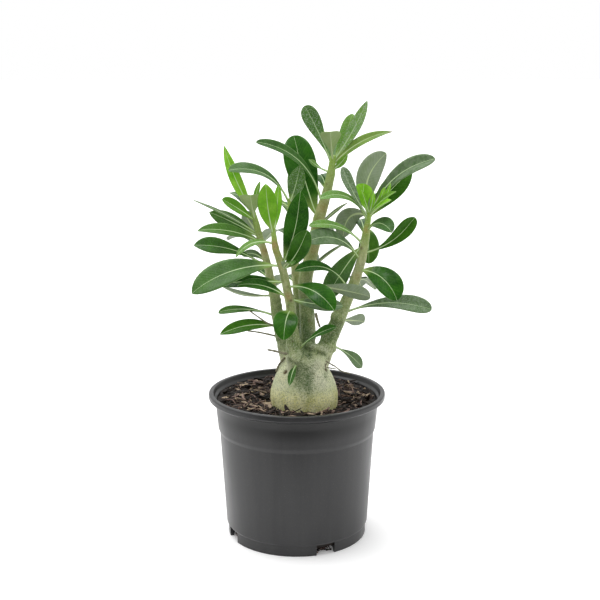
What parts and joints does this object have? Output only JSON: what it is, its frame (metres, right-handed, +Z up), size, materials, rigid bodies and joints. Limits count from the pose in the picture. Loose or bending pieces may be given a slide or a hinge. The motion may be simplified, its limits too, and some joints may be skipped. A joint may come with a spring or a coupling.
{
  "type": "potted desert rose adenium",
  "caption": "Desert rose plant with a swollen grey-green trunk, leafy upright stems and bark potting mix in a tapered black nursery pot.",
  "frame": {"origin": "middle of the flat boss under the pot, where the pot stands", "axes": "+Z up along the pot's axis, -Y towards the front of the plant, +X to its right as seen from the front"},
  "size_m": [0.2193, 0.1747, 0.4052],
  "materials": {
    "pot_plastic": "black moulded nursery pot plastic with a soft satin sheen",
    "bark_mix": "damp dark bark, peat and fibre with a few tan and white pieces",
    "trunk_bark": "smooth grey-green bark, finely speckled, more yellow near the mix",
    "foliage": "waxy leathery leaves, dark green above with pale ribs, grey-green below, on tan-olive stems"
  },
  "bodies": {
    "root": {"pot": "pot_plastic", "potting_mix": "bark_mix", "trunk": "trunk_bark", "leafy_stem_back_left": "foliage", "leafy_stem_front_left": "foliage", "leafy_stem_centre": "foliage", "leafy_stem_right": "foliage", "leafy_stem_back": "foliage"}
  },
  "joints": []
}
